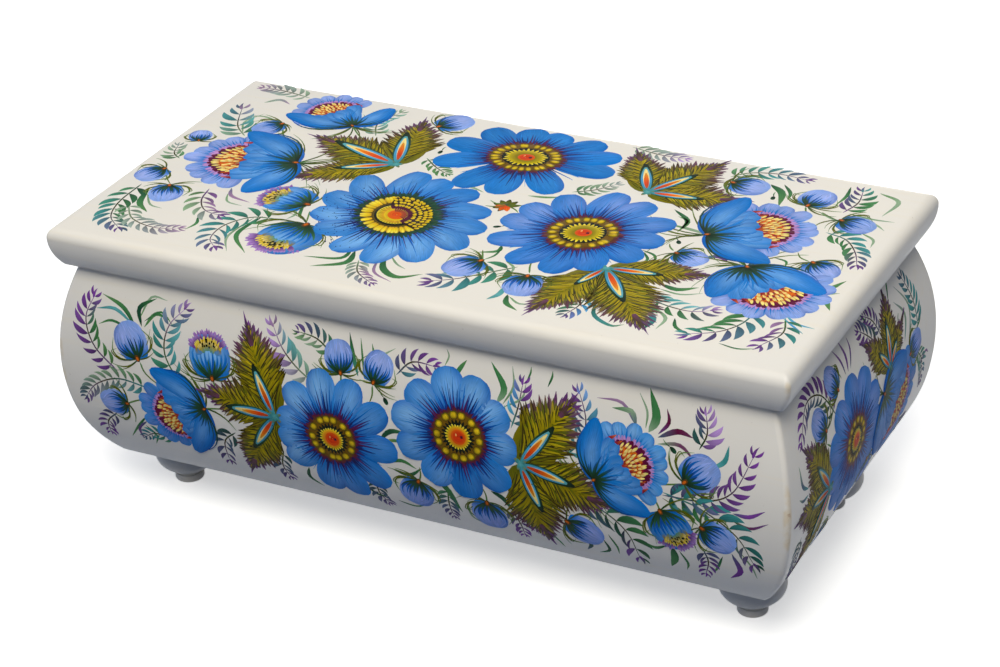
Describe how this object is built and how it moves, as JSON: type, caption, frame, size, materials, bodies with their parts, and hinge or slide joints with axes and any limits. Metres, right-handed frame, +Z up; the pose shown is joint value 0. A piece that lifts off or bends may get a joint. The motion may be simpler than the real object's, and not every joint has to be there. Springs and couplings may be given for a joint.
{
  "type": "lacquered wooden box",
  "caption": "Lacquered wooden casket with bulging mitred walls, turned bun feet and an overhanging lid on small butt hinges, painted with blue folk flowers.",
  "frame": {"origin": "on the floor under the middle of the case, at the bottom centre of the bounding box", "axes": "+X along the length to the right seen from the front, -Y towards the front, +Z up"},
  "size_m": [0.2508, 0.128, 0.1022],
  "materials": {
    "ivory_lacquered_wood": "gloss ivory lacquer over wood",
    "varnished_wood": "clear satin varnish",
    "brass": "satin, slightly tarnished"
  },
  "bodies": {
    "case": {"front_wall": "ivory_lacquered_wood", "back_wall": "ivory_lacquered_wood", "left_end_wall": "ivory_lacquered_wood", "right_end_wall": "ivory_lacquered_wood", "base_board": "ivory_lacquered_wood", "foot_front_left": "ivory_lacquered_wood", "foot_front_right": "ivory_lacquered_wood", "foot_back_left": "ivory_lacquered_wood", "foot_back_right": "ivory_lacquered_wood", "hinge_left_case_leaf": "brass", "hinge_left_pin": "brass", "hinge_left_case_screws": "brass", "hinge_right_case_leaf": "brass", "hinge_right_pin": "brass", "hinge_right_case_screws": "brass"},
    "lid": {"lid_board": "ivory_lacquered_wood", "lid_locating_panel": "varnished_wood", "hinge_left_lid_leaf": "brass", "hinge_left_lid_screws": "brass", "hinge_right_lid_leaf": "brass", "hinge_right_lid_screws": "brass"}
  },
  "joints": [
    {"name": "lid_hinge", "type": "hinge", "parent": "case", "child": "lid", "pos_m": [0, 0.0585, 0.08923], "axis": [-1, 0, 0], "range_deg": [0, 105]}
  ]
}
